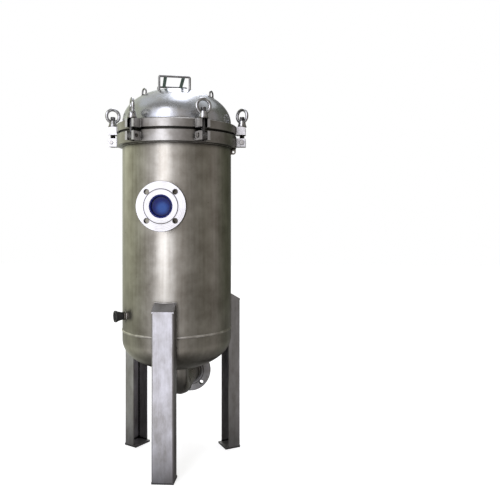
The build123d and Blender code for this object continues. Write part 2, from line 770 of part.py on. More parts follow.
bag_azimuths = [i * 360.0 / bag_count for i in range(bag_count)]
bag_radius = basket_radius - basket_wall - bag_clearance
basket_bottom = rim_top - basket_length
bag_bottom = basket_bottom + basket_wall + seat_fit
for number, azimuth in enumerate(bag_azimuths, start=1):
    with BuildPart() as basket:
        with BuildSketch(level_plane(azimuth, bag_circle, basket_bottom)):
            Circle(basket_radius)
        extrude(amount=basket_length)
        with BuildSketch(level_plane(azimuth, bag_circle, sheet_top)):
            Circle(basket_rim_radius)
        extrude(amount=basket_rim_thickness)
        with BuildSketch(level_plane(azimuth, bag_circle, basket_bottom + basket_wall)):
            Circle(basket_radius - basket_wall)
        extrude(amount=basket_length, mode=Mode.SUBTRACT)
        row_pitch = (tubesheet_height - basket_bottom) / (basket_hole_rows + 1)
        for row in range(basket_hole_rows):
            for column in range(basket_hole_columns // 2):
                turn = 180.0 * (column + 0.5 * (row % 2)) / (basket_hole_columns // 2)
                middle = outward(azimuth) * bag_circle + Vector(
                    0, 0, basket_bottom + (row + 1) * row_pitch
                )
                with BuildSketch(Plane(origin=middle, z_dir=outward(turn))):
                    Circle(basket_hole_radius)
                extrude(amount=2 * basket_radius, both=True, mode=Mode.SUBTRACT)
    basket.part.label = "basket_" + str(number)
    export_step(basket.part, "parts/basket_" + str(number) + ".step")

    with BuildPart() as filter_bag:
        with BuildSketch(side_plane(azimuth, bag_circle)):
            with BuildLine():
                floor = bag_bottom + bag_wall
                FilletPolyline(
                    (0, bag_bottom), (bag_radius, bag_bottom), (bag_radius, rim_top), radius=bag_corner
                )
                Line((bag_radius, rim_top), (bag_radius - bag_wall, rim_top))
                FilletPolyline(
                    (bag_radius - bag_wall, rim_top),
                    (bag_radius - bag_wall, floor),
                    (0, floor),
                    radius=bag_corner - bag_wall,
                )
                Line((0, floor), (0, bag_bottom))
            make_face()
        revolve(axis=Axis(outward(azimuth) * bag_circle, (0, 0, 1)))
    filter_bag.part.label = "filter_bag_" + str(number)
    export_step(filter_bag.part, "parts/filter_bag_" + str(number) + ".step")

with BuildPart() as bag_collars:
    with BuildSketch(Plane.XY.offset(rim_top)):
        with PolarLocations(bag_circle, bag_count, start_angle=-90):
            Circle(collar_radius)
            Circle(bag_radius - bag_wall, mode=Mode.SUBTRACT)
    extrude(amount=collar_thickness)
bag_collars.part.label = "bag_collars"
export_step(bag_collars.part, "parts/bag_collars.step")

with BuildPart() as hold_down:
    with BuildSketch(Plane.XY.offset(collar_top)):
        with PolarLocations(bag_circle / 2, bag_count, start_angle=-90):
            Rectangle(bag_circle, hold_arm_width)
        Circle(hold_hub_radius)
        with PolarLocations(bag_circle, bag_count, start_angle=-90):
            Circle(collar_radius)
            Circle(collar_radius - hold_ring_width, mode=Mode.SUBTRACT)
        Circle(stud_radius + seat_fit, mode=Mode.SUBTRACT)
    extrude(amount=hold_ring_thickness)
hold_down.part.label = "hold_down"
export_step(hold_down.part, "parts/hold_down.step")

with BuildPart() as hold_down_stud:
    with BuildSketch(Plane.XY.offset(tubesheet_height)):
        Circle(stud_radius)
    extrude(amount=hold_top + stud_above - tubesheet_height)
hold_down_stud.part.label = "hold_down_stud"
export_step(hold_down_stud.part, "parts/hold_down_stud.step")

with BuildPart() as hold_down_nut:
    with BuildSketch(Plane.XY.offset(hold_top)):
        RegularPolygon(stud_nut_flats / 2, 6, major_radius=False)
        Circle(stud_radius + pin_fit, mode=Mode.SUBTRACT)
    extrude(amount=stud_nut_height)
hold_down_nut.part.label = "hold_down_nut"
export_step(hold_down_nut.part, "parts/hold_down_nut.step")
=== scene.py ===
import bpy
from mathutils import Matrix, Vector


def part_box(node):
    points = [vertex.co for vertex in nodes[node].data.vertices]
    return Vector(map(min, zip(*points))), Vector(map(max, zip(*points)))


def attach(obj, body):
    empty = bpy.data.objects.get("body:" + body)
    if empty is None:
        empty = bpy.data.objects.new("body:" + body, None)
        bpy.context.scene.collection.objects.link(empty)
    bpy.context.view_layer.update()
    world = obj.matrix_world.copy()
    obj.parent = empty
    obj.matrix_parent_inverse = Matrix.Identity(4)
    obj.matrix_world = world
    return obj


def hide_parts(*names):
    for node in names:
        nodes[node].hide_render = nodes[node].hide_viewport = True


bl_info = {
    "name": "Bag filter housing",
    "version": (1, 0, 0),
    "blender": (4, 5, 0),
    "location": "View3D > Sidebar > Filter Housing",
    "description": "Dresses a stainless bag filter housing with its finishes, welds and bags",
    "category": "Object",
}

from math import atan2, cos, pi, radians, sin, sqrt

import bmesh
import bpy
from bpy.props import FloatProperty, FloatVectorProperty, IntProperty, PointerProperty
from bpy.types import Operator, Panel, PropertyGroup
from mathutils import Quaternion, Vector

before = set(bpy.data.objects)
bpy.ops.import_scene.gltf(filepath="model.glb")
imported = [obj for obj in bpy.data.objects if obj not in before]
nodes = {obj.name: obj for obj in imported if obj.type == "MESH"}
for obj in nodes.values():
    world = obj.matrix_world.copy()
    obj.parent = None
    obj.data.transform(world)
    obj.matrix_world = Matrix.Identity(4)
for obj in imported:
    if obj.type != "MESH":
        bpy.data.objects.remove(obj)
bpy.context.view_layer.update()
up = Vector((0, 0, 1))

swing_bolts = ["swing_bolt_%d" % i for i in range(1, 7)]
washers = ["washer_%d" % i for i in range(1, 7)]
eye_nuts = ["eye_nut_%d" % i for i in range(1, 7)]
baskets = ["basket_%d" % i for i in range(1, 4)]
filter_bags = ["filter_bag_%d" % i for i in range(1, 4)]


# ---------------- measures taken from the frame
def middle(name):
    """The middle of a part's box."""
    low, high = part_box(name)
    return (Vector(low) + Vector(high)) / 2


def reach(name):
    """Half of a part's width."""
    low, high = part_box(name)
    return (high[0] - low[0]) / 2


def outward(azimuth):
    """The level direction at an azimuth: 0 is the inlet's side and 90 is +X."""
    return Vector((sin(radians(azimuth)), -cos(radians(azimuth)), 0))


def across(azimuth):
    """The level direction to the right of an azimuth's, seen from outside."""
    return Vector((cos(radians(azimuth)), sin(radians(azimuth)), 0))


shell_radius = reach("lower_head")
seam_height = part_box("shell")[0][2]
shell_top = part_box("shell")[1][2]
flange_radius = reach("body_flange")
joint_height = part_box("body_flange")[1][2]
lid_flange_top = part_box("lid_flange")[1][2]
dome_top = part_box("lid_dome")[1][2]
leg_reach = -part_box("leg_front")[0][1]

# Places and sizes inside the parts, which their boxes don't tell, in degrees and metres.
bolt_azimuths = [-87 + 60 * i for i in range(6)]
lug_half_width = 0.0225
leg_azimuths = {"leg_front": 0.0, "leg_rear_right": 120.0, "leg_rear_left": -120.0}
leg_half_width = 0.0435
leg_cap_top, leg_cap_slope = 0.647, 0.6
port_azimuth, port_height, port_radius = -55, 0.608, 0.018
# The pipes meet their flanges at the neck, and the elbow meets its pipe and the bottom head.
neck_reach, elbow_reach, elbow_top = 0.2666, 0.0762, 0.3735
raised_face, bolt_hole, bolt_offset = 0.0635, 0.00955, 0.05388
dome_skirt = 0.014
handle_heading, handle_shift = 15.0, -0.017
handle_half_width, handle_half_length, handle_foot = 0.061, 0.103, 0.0054
eye_azimuths, eye_circle, eye_half_width, eye_foot = (-46, 74, 194), 0.156, 0.0145, 0.0043

studio_radius, studio_bottom, studio_top = 4.2, -0.1, 4.9


# ---------------- colours and materials
def linear(code):
    """An sRGB hex colour as linear red, green, blue and alpha."""
    values = []
    for start in (1, 3, 5):
        part = int(code[start:start + 2], 16) / 255
        values.append(part / 12.92 if part <= 0.04045 else ((part + 0.055) / 1.055) ** 2.4)
    return (*values, 1.0)


def add_node(tree, kind, links=None, values=None, stops=(), feeds=None, **settings):
    """Adds a node, sets its properties, input values and colour stops, and links its inputs.
    feeds is a socket that the node's first output goes to."""
    new = tree.nodes.new("ShaderNode" + kind)
    for name, value in settings.items():
        setattr(new, name, value)
    for socket, value in (values or {}).items():
        new.inputs[socket].default_value = value
    for socket, source in (links or {}).items():
        tree.links.new(source, new.inputs[socket])
    if feeds:
        tree.links.new(new.outputs[0], feeds)
    for i, (position, colour) in enumerate(stops):
        # A colour ramp comes with its first two stops.
        if i < 2:
            new.color_ramp.elements[i].position = position
            new.color_ramp.elements[i].color = colour
        else:
            new.color_ramp.elements.new(position).color = colour
    return new


def start_material(name, values=None):
    """A new material, its shader with the values that are the same all over, and its Object
    coordinates."""
    made = bpy.data.materials.new(name)
    made.use_nodes = True
    tree = made.node_tree
    shader = tree.nodes["Principled BSDF"]
    for socket, value in (values or {}).items():
        shader.inputs[socket].default_value = value
    place = add_node(tree, "TexCoord").outputs["Object"]
    return made, tree, shader, place


def paint_crevice_shade(tree, colour, shader, width=0.012):
    """Paints shade into a finish's colour within a width in metres of a corner: the tighter the
    corner, the darker the painted shade.
    """
    near = add_node(tree, "AmbientOcclusion", values={"Distance": width}, samples=8)
    amount = add_node(tree, "MapRange", {"Value": near.outputs["AO"]},
                      {"From Min": 0.58, "From Max": 0.88})
    # A Mix node of colours has its factor at input 0 and its colours at inputs 6 and 7.
    # Near black painted shade, mixed in where ambient occlusion finds a corner.
    crevice_painted_shade = add_node(tree, "Mix", {0: amount.outputs["Result"], 7: colour},
                     {6: linear("#1D1B18")}, data_type="RGBA")
    tree.links.new(crevice_painted_shade.outputs[2], shader.inputs["Base Color"])


def surroundings(tree, place):
    """The light that comes from each side of the studio, by azimuth, for what metal mirrors."""
    # The angle runs from the back, round by the left, the front and the right to the back again.
    turned = add_node(tree, "Mapping", {"Vector": place}, {"Scale": (1, -1, 1)})
    parts = add_node(tree, "SeparateXYZ", {"Vector": turned.outputs[0]})
    angle = add_node(tree, "Math", {0: parts.outputs["X"], 1: parts.outputs["Y"]},
                     operation="ARCTAN2")
    turn = add_node(tree, "MapRange", {"Value": angle.outputs[0]},
                    {"From Min": -pi, "From Max": pi})
    # Azimuth, and a third of the light there in red, green and blue.
    sides = ((-165, 0.22, 0.23, 0.21), (-150, 0.25, 0.26, 0.22), (-92, 0.25, 0.26, 0.21),
             (-70, 0.25, 0.26, 0.23), (-56, 0.27, 0.27, 0.26), (-45, 0.34, 0.34, 0.35),
             (-37, 0.42, 0.42, 0.46), (-28, 0.62, 0.63, 0.70), (-9, 0.62, 0.63, 0.70),
             (-1, 0.46, 0.46, 0.50), (10, 0.31, 0.30, 0.31), (23, 0.21, 0.20, 0.20),
             (36, 0.155, 0.15, 0.15), (49, 0.13, 0.125, 0.12), (77, 0.12, 0.115, 0.105),
             (88, 0.16, 0.15, 0.15), (97, 0.16, 0.15, 0.15), (106, 0.08, 0.08, 0.07),
             (135, 0.045, 0.05, 0.035), (165, 0.04, 0.04, 0.035))
    behind = (0.10, 0.10, 0.09, 1)
    stops = [(0.0, behind), (1.0, behind)]
    stops += [(0.5 + azimuth / 360, (*light, 1)) for azimuth, *light in sides]
    shade = add_node(tree, "ValToRGB", {"Fac": turn.outputs["Result"]}, stops=stops)
    return shade.outputs["Color"]


def clothe(names, material):
    """Gives CAD parts a material."""
    for name in names:
        mesh = nodes[name].data
        mesh.materials.clear()
        mesh.materials.append(material)


def satin_rolled_stainless():
    """Hot-rolled stainless sheet, rolled round and pickled: a soft grey-olive shine with faint
    run marks down its length and broad waves from the rolls."""
    look = bpy.context.scene.housing_finish
    made, tree, shader, place = start_material("satin_rolled_stainless", {"Metallic": 1.0})
    # Run marks 14 mm apart and 300 mm long.
    runs = add_node(tree, "Mapping", {"Vector": place}, {"Scale": (70, 70, 3.2)})
    marks = add_node(tree, "TexNoise", {"Vector": runs.outputs[0]}, {"Scale": 1.0, "Detail": 5.0})
    # Cloudy patches the size of a hand, 90 mm.
    cloud = add_node(tree, "TexNoise", {"Vector": place},
                     {"Scale": 11.0, "Detail": 6.0, "Roughness": 0.6})
    blend = add_node(tree, "Mix", {"A": marks.outputs["Fac"], "B": cloud.outputs["Fac"]},
                     {"Factor": 0.72}, data_type="FLOAT")
    tint = add_node(tree, "ValToRGB", {"Fac": blend.outputs[0]},
                    stops=((0.37, look.shell_shade), (0.63, look.shell_colour)))
    # Specks of scale 3 mm wide, some 40 mm apart.
    scatter = add_node(tree, "TexVoronoi", {"Vector": place}, {"Scale": 26.0})
    clean = add_node(tree, "MapRange", {"Value": scatter.outputs["Distance"]},
                     {"From Min": 0.03, "From Max": 0.055, "To Min": 0.45})
    specked = add_node(tree, "Mix", {0: clean.outputs["Result"], 7: tint.outputs["Color"]},
                       {6: linear("#3B362F")}, data_type="RGBA")
    # Painted shade 35 mm wide in the corners, which draws the dark band under the body flange.
    paint_crevice_shade(tree, specked.outputs[2], shader, 0.035)
    add_node(tree, "MapRange", {"Value": cloud.outputs["Fac"]},
             {"From Min": 0.3, "From Max": 0.7, "To Min": 0.27, "To Max": 0.36},
             feeds=shader.inputs["Roughness"])
    # Waves from the rolls, 160 mm apart and 0.3 mm deep, and a pickled grain drawn 3 mm coarse.
    wave = add_node(tree, "TexNoise", {"Vector": place}, {"Scale": 6.0, "Detail": 1.0})
    swell = add_node(tree, "Bump", {"Height": wave.outputs["Fac"]},
                     {"Strength": 0.35, "Distance": 0.0012})
    grain = add_node(tree, "TexNoise", {"Vector": place}, {"Scale": 320.0, "Detail": 2.0})
    add_node(tree, "Bump",
             {"Height": grain.outputs["Fac"], "Normal": swell.outputs["Normal"]},
             {"Strength": 0.12, "Distance": 0.0003}, feeds=shader.inputs["Normal"])
    return made


def polished_stainless(name, colour, shade, roughness, swirl):
    """Stainless worked with a flap wheel and buffed: bright, with soft patches where the wheel
    dwelt. swirl is the depth of its swirl marks in metres."""
    made, tree, shader, place = start_material(name, {"Metallic": 1.0})
    # Patches 60 mm across.
    patch = add_node(tree, "TexNoise", {"Vector": place},
                     {"Scale": 16.0, "Detail": 5.0, "Roughness": 0.6})
    tint = add_node(tree, "ValToRGB", {"Fac": patch.outputs["Fac"]},
                    stops=((0.35, shade), (0.62, colour)))
    paint_crevice_shade(tree, tint.outputs["Color"], shader)
    add_node(tree, "MapRange", {"Value": patch.outputs["Fac"]},
             {"From Min": 0.3, "From Max": 0.7,
              "To Min": roughness * 0.8, "To Max": roughness * 1.25},
             feeds=shader.inputs["Roughness"])
    # Wheel marks 8 mm wide.
    fine = add_node(tree, "TexNoise", {"Vector": place},
                    {"Scale": 125.0, "Detail": 3.0, "Distortion": 1.5})
    add_node(tree, "Bump", {"Height": fine.outputs["Fac"]},
             {"Strength": 0.3, "Distance": swirl}, feeds=shader.inputs["Normal"])
    return made


def turned_stainless(name, centre, axis, colour, shade, drilled=False):
    """A flange turned on a lathe: fine rings round its axis that spread the light across them.
    centre is a point on the axis and axis its name, Y or Z. A drilled flange has a raised face
    and four bolt holes, with painted shade in the corner of the one and round the rims of the
    others."""
    made, tree, shader, place = start_material(name, {"Metallic": 1.0, "Roughness": 0.34})
    at_axis = add_node(tree, "Mapping", {"Vector": place}, {"Location": [-v for v in centre]})
    if axis == "Y":
        # Turned so that the axis is Z for the rings.
        at_axis = add_node(tree, "Mapping", {"Vector": at_axis.outputs[0]},
                           {"Rotation": (pi / 2, 0, 0)})
    # Tool marks 6 mm apart: the real feed is 0.3 mm, too fine to show.
    rings = add_node(tree, "TexWave", {"Vector": at_axis.outputs[0]},
                     {"Scale": 53.0, "Distortion": 0.6, "Detail": 2.0, "Detail Scale": 2.0},
                     wave_type="RINGS", rings_direction="Z", wave_profile="SIN")
    patch = add_node(tree, "TexNoise", {"Vector": place}, {"Scale": 22.0, "Detail": 5.0})
    mixed = add_node(tree, "Mix", {"A": patch.outputs["Fac"], "B": rings.outputs["Fac"]},
                     {"Factor": 0.25}, data_type="FLOAT")
    tint = add_node(tree, "ValToRGB", {"Fac": mixed.outputs[0]},
                    stops=((0.3, shade), (0.6, colour)))
    face = tint.outputs["Color"]
    if drilled:
        # A line of painted shade 3 mm wide in the corner outside the raised face.
        level = add_node(tree, "VectorMath", {0: at_axis.outputs[0]}, {1: (1, 1, 0)},
                         operation="MULTIPLY")
        away = add_node(tree, "VectorMath", {0: level.outputs[0]}, operation="LENGTH")
        off = add_node(tree, "Math", {0: away.outputs["Value"]}, {1: raised_face + 0.0012},
                       operation="SUBTRACT")
        aside = add_node(tree, "Math", {0: off.outputs[0]}, operation="ABSOLUTE")
        clean = add_node(tree, "MapRange", {"Value": aside.outputs[0]},
                         {"From Min": 0.001, "From Max": 0.0032, "To Min": 0.15})
        line = add_node(tree, "Mix", {0: clean.outputs["Result"], 7: face},
                        {6: linear("#3A3733")}, data_type="RGBA")
        # Each hole's rim is painted dark for 1.5 mm: painted shade round the hole.
        # The four holes are alike, so one quarter of the face stands for all.
        quarter = add_node(tree, "VectorMath", {0: level.outputs[0]}, operation="ABSOLUTE")
        from_hole = add_node(tree, "VectorMath", {0: quarter.outputs[0]},
                             {1: (bolt_offset, bolt_offset, 0)}, operation="DISTANCE")
        clear = add_node(tree, "MapRange", {"Value": from_hole.outputs["Value"]},
                         {"From Min": bolt_hole + 0.0007, "From Max": bolt_hole + 0.0022,
                          "To Min": 0.1})
        hole_rim_shade = add_node(tree, "Mix", {0: clear.outputs["Result"], 7: line.outputs[2]},
                          {6: linear("#2E2B28")}, data_type="RGBA")
        face = hole_rim_shade.outputs[2]
    paint_crevice_shade(tree, face, shader, 0.03)
    add_node(tree, "Bump", {"Height": rings.outputs["Fac"]},
             {"Strength": 0.25, "Distance": 0.0002}, feeds=shader.inputs["Normal"])
    return made


def brushed_stainless(name, colour, shade, roughness):
    """Folded stainless plate, brushed along its length with a coarse belt: long pale streaks and
    cloudy grey stains."""
    made, tree, shader, place = start_material(name, {"Metallic": 1.0})
    # Belt marks 5 mm wide and 250 mm long: the real ones are 0.2 mm wide, too fine to show.
    lengthwise = add_node(tree, "Mapping", {"Vector": place}, {"Scale": (200, 200, 4)})
    belt = add_node(tree, "TexNoise", {"Vector": lengthwise.outputs[0]},
                    {"Scale": 1.0, "Detail": 3.0})
    # Stains 50 mm across and 110 mm tall.
    drift = add_node(tree, "Mapping", {"Vector": place}, {"Scale": (20, 20, 9)})
    stain = add_node(tree, "TexNoise", {"Vector": drift.outputs[0]},
                     {"Scale": 1.0, "Detail": 7.0, "Roughness": 0.68})
    mixed = add_node(tree, "Mix", {"A": belt.outputs["Fac"], "B": stain.outputs["Fac"]},
                     {"Factor": 0.82}, data_type="FLOAT")
    tint = add_node(tree, "ValToRGB", {"Fac": mixed.outputs[0]},
                    stops=((0.36, shade), (0.62, colour)))
    paint_crevice_shade(tree, tint.outputs["Color"], shader)
    add_node(tree, "MapRange", {"Value": stain.outputs["Fac"]},
             {"From Min": 0.3, "From Max": 0.7,
              "To Min": roughness * 1.12, "To Max": roughness * 0.88},
             feeds=shader.inputs["Roughness"])
    add_node(tree, "Bump", {"Height": belt.outputs["Fac"]},
             {"Strength": 0.1, "Distance": 0.0003}, feeds=shader.inputs["Normal"])
    return made


def cast_stainless():
    """Investment-cast stainless, tumbled: a fine pebbled skin in patches of lighter and darker
    tone, with painted shade in its hollows."""
    look = bpy.context.scene.housing_finish
    made, tree, shader, place = start_material("cast_stainless",
                                               {"Metallic": 1.0, "Roughness": 0.21})
    # Skin pebbled 2 mm, drawn twice as coarse as it is.
    skin = add_node(tree, "TexNoise", {"Vector": place}, {"Scale": 480.0, "Detail": 3.0})
    patch = add_node(tree, "TexNoise", {"Vector": place}, {"Scale": 60.0, "Detail": 4.0})
    tint = add_node(tree, "ValToRGB", {"Fac": patch.outputs["Fac"]},
                    stops=((0.35, look.cast_shade), (0.62, look.cast_colour)))
    # Painted shade in the hollows, within 8 mm of a corner.
    paint_crevice_shade(tree, tint.outputs["Color"], shader, 0.008)
    add_node(tree, "Bump", {"Height": skin.outputs["Fac"]},
             {"Strength": 0.35, "Distance": 0.0004}, feeds=shader.inputs["Normal"])
    return made


def threaded_stainless():
    """Rolled thread on stainless bar, 2.5 mm apart: painted highlights on the crests and painted
    shade in the roots.
    """
    made, tree, shader, place = start_material("threaded_stainless",
                                               {"Metallic": 1.0, "Roughness": 0.3})
    # A wave's bands are 0.314 m apart at scale 1, so 2.5 mm takes 126.
    thread = add_node(tree, "TexWave", {"Vector": place}, {"Scale": 126.0, "Distortion": 0.0},
                      wave_type="BANDS", bands_direction="Z", wave_profile="SIN")
    # Painted shade in the roots and painted highlight on the crests.
    tint = add_node(tree, "ValToRGB", {"Fac": thread.outputs["Fac"]},
                    stops=((0.1, linear("#353331")), (0.7, linear("#959392"))))
    paint_crevice_shade(tree, tint.outputs["Color"], shader, 0.02)
    add_node(tree, "Bump", {"Height": thread.outputs["Fac"]},
             {"Strength": 0.8, "Distance": 0.0012}, feeds=shader.inputs["Normal"])
    return made


def weld_metal():
    """A weld bead, wire-brushed: overlapping ripples 4 mm apart, with straw and grey heat
    tints."""
    made, tree, shader, place = start_material("weld_metal", {"Metallic": 1.0, "Roughness": 0.42})
    ripple = add_node(tree, "TexNoise", {"Vector": place}, {"Scale": 240.0, "Detail": 2.0})
    heat = add_node(tree, "TexNoise", {"Vector": place}, {"Scale": 35.0, "Detail": 3.0})
    tint = add_node(tree, "ValToRGB", {"Fac": heat.outputs["Fac"]},
                    stops=((0.4, linear("#AAA59C")), (0.62, linear("#C9C5BD"))))
    paint_crevice_shade(tree, tint.outputs["Color"], shader, 0.03)
    add_node(tree, "Bump", {"Height": ripple.outputs["Fac"]},
             {"Strength": 0.15, "Distance": 0.0006}, feeds=shader.inputs["Normal"])
    return made


def moulded_plastic(name, colour, roughness, flow_scale, shine=0.5, disc=None):
    """Injection-moulded plastic: an even colour under a waxy shine, with faint flow marks.
    flow_scale is one over the marks' width in metres, and shine the specular level. disc is the
    middle, the radius and the colour of a painted glow: light that comes through the plastic
    where it is thin, painted into its colour."""
    made, tree, shader, place = start_material(name, {"Specular IOR Level": shine, "IOR": 1.51})
    flow = add_node(tree, "TexNoise", {"Vector": place}, {"Scale": flow_scale, "Detail": 3.0})
    add_node(tree, "MapRange", {"Value": flow.outputs["Fac"]},
             {"From Min": 0.3, "From Max": 0.7,
              "To Min": roughness * 0.85, "To Max": roughness * 1.2},
             feeds=shader.inputs["Roughness"])
    add_node(tree, "Bump", {"Height": flow.outputs["Fac"]},
             {"Strength": 0.2, "Distance": 0.0003}, feeds=shader.inputs["Normal"])
    # The colour runs a shade deeper where the melt flowed last.
    deeper = [0.78 * v for v in colour[:3]] + [1.0]
    tint = add_node(tree, "ValToRGB", {"Fac": flow.outputs["Fac"]},
                    stops=((0.3, deeper), (0.7, colour)))
    face = tint.outputs["Color"]
    if disc:
        # The disc is painted paler: painted light coming through the plastic.
        disc_middle, radius, pale = disc
        away = add_node(tree, "VectorMath", {0: place}, {1: disc_middle}, operation="DISTANCE")
        thin = add_node(tree, "MapRange", {"Value": away.outputs["Value"]},
                        {"From Min": radius, "From Max": radius * 0.3},
                        interpolation_type="SMOOTHSTEP")
        lit = add_node(tree, "Mix", {0: thin.outputs["Result"], 6: face}, {7: pale},
                       data_type="RGBA")
        face = lit.outputs[2]
    paint_crevice_shade(tree, face, shader, 0.01)
    return made


def moulded_rubber():
    """Moulded nitrile rubber: near black, dull, with a faint bloom."""
    made, tree, shader, place = start_material("moulded_rubber", {"Roughness": 0.7, "IOR": 1.52})
    # Bloom in patches 11 mm wide.
    bloom = add_node(tree, "TexNoise", {"Vector": place}, {"Scale": 90.0, "Detail": 4.0})
    add_node(tree, "ValToRGB", {"Fac": bloom.outputs["Fac"]},
             stops=((0.0, linear("#141414")), (1.0, linear("#2A2A29"))),
             feeds=shader.inputs["Base Color"])
    return made


def needled_felt():
    """Needled polyester felt: off-white, with a soft fibrous nap and needle rows 3 mm apart."""
    made, tree, shader, place = start_material(
        "needled_felt", {"Roughness": 0.92, "Sheen Weight": 0.35, "Sheen Roughness": 0.5})
    nap = add_node(tree, "TexNoise", {"Vector": place},
                   {"Scale": 420.0, "Detail": 5.0, "Roughness": 0.7})
    rows = add_node(tree, "TexVoronoi", {"Vector": place}, {"Scale": 330.0})
    add_node(tree, "ValToRGB", {"Fac": nap.outputs["Fac"]},
             stops=((0.0, linear("#CFCBBD")), (1.0, linear("#F1EEE4"))),
             feeds=shader.inputs["Base Color"])
    mixed = add_node(tree, "Mix", {"A": nap.outputs["Fac"], "B": rows.outputs["Distance"]},
                     {"Factor": 0.4}, data_type="FLOAT")
    add_node(tree, "Bump", {"Height": mixed.outputs[0]},
             {"Strength": 0.6, "Distance": 0.0006}, feeds=shader.inputs["Normal"])
    return made


# ---------------- meshes
def from_bmesh(name, mesh):
    """The mesh of a finished bmesh."""
    data = bpy.data.meshes.new(name)
    mesh.to_mesh(data)
    mesh.free()
    return data


def show(name, data, material):
    """Makes an object of a mesh, in one material."""
    data.materials.clear()
    data.materials.append(material)
    shown = bpy.data.objects.new(name, data)
    bpy.context.scene.collection.objects.link(shown)
    return shown


def finish_piece(name, data, material, body):
    """Makes a smooth piece of a mesh, on a CAD body."""
    for face in data.polygons:
        face.use_smooth = True
    piece = show(name, data, material)
    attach(piece, body)
    return piece


def bead(name, runs, radius, material, body):
    """Weld beads of one radius along runs of points: a run is (points, closed)."""
    line = bpy.data.curves.new(name, "CURVE")
    line.dimensions = "3D"
    line.bevel_depth = radius
    line.bevel_resolution = 2
    line.use_fill_caps = True
    for points, closed in runs:
        spline = line.splines.new("POLY")
        spline.points.add(len(points) - 1)
        for point, place in zip(spline.points, points):
            point.co = (*place, 1)
        spline.use_cyclic_u = closed
    shape = bpy.data.objects.new(name + "_line", line)
    bpy.context.scene.collection.objects.link(shape)
    bpy.context.view_layer.update()
    settled = shape.evaluated_get(bpy.context.evaluated_depsgraph_get())
    data = bpy.data.meshes.new_from_object(settled)
    bpy.data.objects.remove(shape)
    data.name = name
    return finish_piece(name, data, material, body)


def ring(centre, radius, count, right=across(0), forward=outward(180)):
    """Points on a circle, level unless its two directions say otherwise."""
    turns = [2 * pi * i / count for i in range(count)]
    return [centre + (right * cos(turn) + forward * sin(turn)) * radius for turn in turns]


def skin(radius, aside, lift=0.0):
    """How far ahead of the vessel's axis a round skin lies, at a distance beside the axis."""
    return sqrt(radius ** 2 - aside ** 2) + lift


def saddle(azimuth, height, radius, count, lift=0.0):
    """Points round a pipe where it enters the shell."""
    points = []
    for turn in (2 * pi * i / count for i in range(count)):
        aside = radius * cos(turn)
        points.append(outward(azimuth) * skin(shell_radius, aside, lift)
                      + across(azimuth) * aside + up * (height + radius * sin(turn)))
    return points


def dome_height(spot):
    """The height of the lid's dome above a point, from its half-ellipse over the lid flange."""
    base = lid_flange_top + dome_skirt
    return base + (dome_top - base) * sqrt(1 - spot.xy.length_squared / shell_radius ** 2)


# ---------------- settings
class HousingFinish(PropertyGroup):
    """Colours of the metal and the plastic."""
    shell_colour: FloatVectorProperty(
        name="Shell", description="Bright of the rolled sheet",
        default=linear("#A8A49A"), size=4, subtype="COLOR")
    shell_shade: FloatVectorProperty(
        name="Shell shade", description="Dark of the rolled sheet",
        default=linear("#868177"), size=4, subtype="COLOR")
    dome_colour: FloatVectorProperty(
        name="Dome", description="Bright of the polished lid",
        default=linear("#B2B4B8"), size=4, subtype="COLOR")
    dome_shade: FloatVectorProperty(
        name="Dome shade", description="Dark of the polished lid",
        default=linear("#A3A29F"), size=4, subtype="COLOR")
    leg_colour: FloatVectorProperty(
        name="Legs", description="Bright of the brushed legs",
        default=linear("#B4B2B4"), size=4, subtype="COLOR")
    leg_shade: FloatVectorProperty(
        name="Legs shade", description="Dark of the brushed legs",
        default=linear("#918E8B"), size=4, subtype="COLOR")
    flange_colour: FloatVectorProperty(
        name="Flanges", description="Bright of the turned flanges",
        default=linear("#96938E"), size=4, subtype="COLOR")
    flange_shade: FloatVectorProperty(
        name="Flanges shade", description="Dark of the turned flanges",
        default=linear("#78746D"), size=4, subtype="COLOR")
    cast_colour: FloatVectorProperty(
        name="Nuts", description="Bright of the cast eye nuts",
        default=linear("#BDBCBC"), size=4, subtype="COLOR")
    cast_shade: FloatVectorProperty(
        name="Nuts shade", description="Dark of the cast eye nuts",
        default=linear("#83817E"), size=4, subtype="COLOR")
    plug_colour: FloatVectorProperty(
        name="Inlet plug", description="Blue of the inlet plug",
        default=linear("#0F1B66"), size=4, subtype="COLOR")
    port_colour: FloatVectorProperty(
        name="Port plug", description="Black of the port plug",
        default=linear("#1B1B1C"), size=4, subtype="COLOR")
    rail_colour: FloatVectorProperty(
        name="Rails", description="Green of the handle's strips",
        default=linear("#2B5844"), size=4, subtype="COLOR")


class WeldSizes(PropertyGroup):
    """Sizes of the weld beads."""
    seam: FloatProperty(name="Seam bead", description="Radius of the bead round the shell",
                        default=0.0068, subtype="DISTANCE")
    fillet: FloatProperty(name="Fillet bead", description="Radius of the beads in corners",
                          default=0.0045, subtype="DISTANCE")
    small: FloatProperty(name="Small bead", description="Radius of the beads on pipes and legs",
                         default=0.0025, subtype="DISTANCE")


class BagSizes(PropertyGroup):
    """Sizes of the felt bags."""
    wall: FloatProperty(name="Felt", description="Thickness of the felt",
                        default=0.002, subtype="DISTANCE")
    slack: FloatProperty(name="Slack", description="Depth of the folds where a bag is slack",
                         default=0.004, subtype="DISTANCE")
    folds: IntProperty(name="Folds", description="Folds round a bag", default=7)


